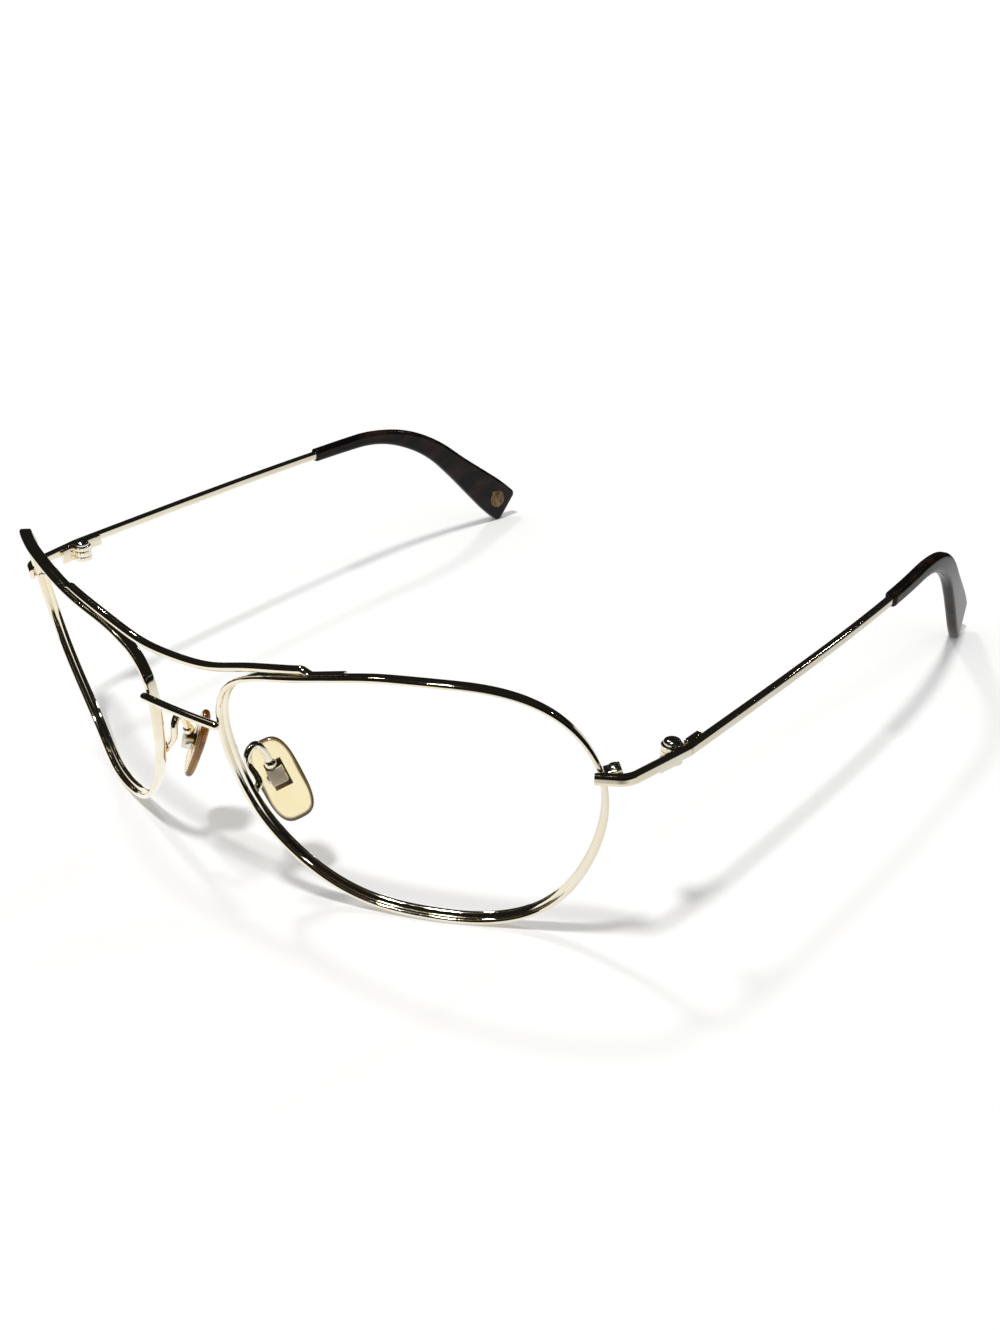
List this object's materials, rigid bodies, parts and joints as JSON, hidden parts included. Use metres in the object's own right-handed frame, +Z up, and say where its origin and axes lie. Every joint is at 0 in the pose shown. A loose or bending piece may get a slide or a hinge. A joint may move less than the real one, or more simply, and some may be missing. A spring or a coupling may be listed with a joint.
{
  "type": "sunglasses frame",
  "caption": "Wire sunglasses frame with teardrop rims, a brow bar, adjustable nose pads and folding temples with dark tips.",
  "frame": {"origin": "middle of the frame's bounding box, at table height, temples open", "axes": "+X to the wearer's left, +Y back along the temples, +Z up; the front looks along -Y"},
  "size_m": [0.1434, 0.1702, 0.0467],
  "materials": {
    "pale_gold": "polished pale gold plate",
    "steel": "bright screws",
    "dark_acetate": "polished dark acetate",
    "clear_pad": "clear, yellowed",
    "aged_brass": "dull brass"
  },
  "bodies": {
    "front": {"rim_left": "pale_gold", "rim_right": "pale_gold", "brow_bar": "pale_gold", "bridge_bar": "pale_gold", "pad_arm_left": "pale_gold", "pad_box_left": "pale_gold", "pad_screw_left": "steel", "endpiece_left": "pale_gold", "closing_block_upper_left": "pale_gold", "closing_block_lower_left": "pale_gold", "closing_screw_left": "steel", "hinge_front_left": "pale_gold", "hinge_screw_left": "steel", "pad_arm_right": "pale_gold", "pad_box_right": "pale_gold", "pad_screw_right": "steel", "endpiece_right": "pale_gold", "closing_block_upper_right": "pale_gold", "closing_block_lower_right": "pale_gold", "closing_screw_right": "steel", "hinge_front_right": "pale_gold", "hinge_screw_right": "steel"},
    "temple_left": {"hinge_temple_left": "pale_gold", "temple_wire_left": "pale_gold", "temple_tip_left": "dark_acetate", "tip_plaque_left": "aged_brass"},
    "temple_right": {"hinge_temple_right": "pale_gold", "temple_wire_right": "pale_gold", "temple_tip_right": "dark_acetate", "tip_plaque_right": "aged_brass"},
    "pad_left": {"nose_pad_left": "clear_pad", "pad_insert_left": "aged_brass"},
    "pad_right": {"nose_pad_right": "clear_pad", "pad_insert_right": "aged_brass"}
  },
  "joints": [
    {"name": "temple_left_hinge", "type": "hinge", "parent": "front", "child": "temple_left", "pos_m": [0.0668, -0.04967, 0.03211], "axis": [0, 0, 1], "range_deg": [0, 91]},
    {"name": "temple_right_hinge", "type": "hinge", "parent": "front", "child": "temple_right", "pos_m": [-0.0668, -0.04967, 0.03211], "axis": [0, 0, -1], "range_deg": [0, 87]},
    {"name": "pad_left_rock", "type": "hinge", "parent": "front", "child": "pad_left", "pos_m": [0.01014, -0.0746, 0.01885], "axis": [0.5909, 0.7028, 0.396], "range_deg": [-10, 10]},
    {"name": "pad_right_rock", "type": "hinge", "parent": "front", "child": "pad_right", "pos_m": [-0.01014, -0.0746, 0.01885], "axis": [-0.5909, 0.7028, 0.396], "range_deg": [-10, 10]}
  ]
}
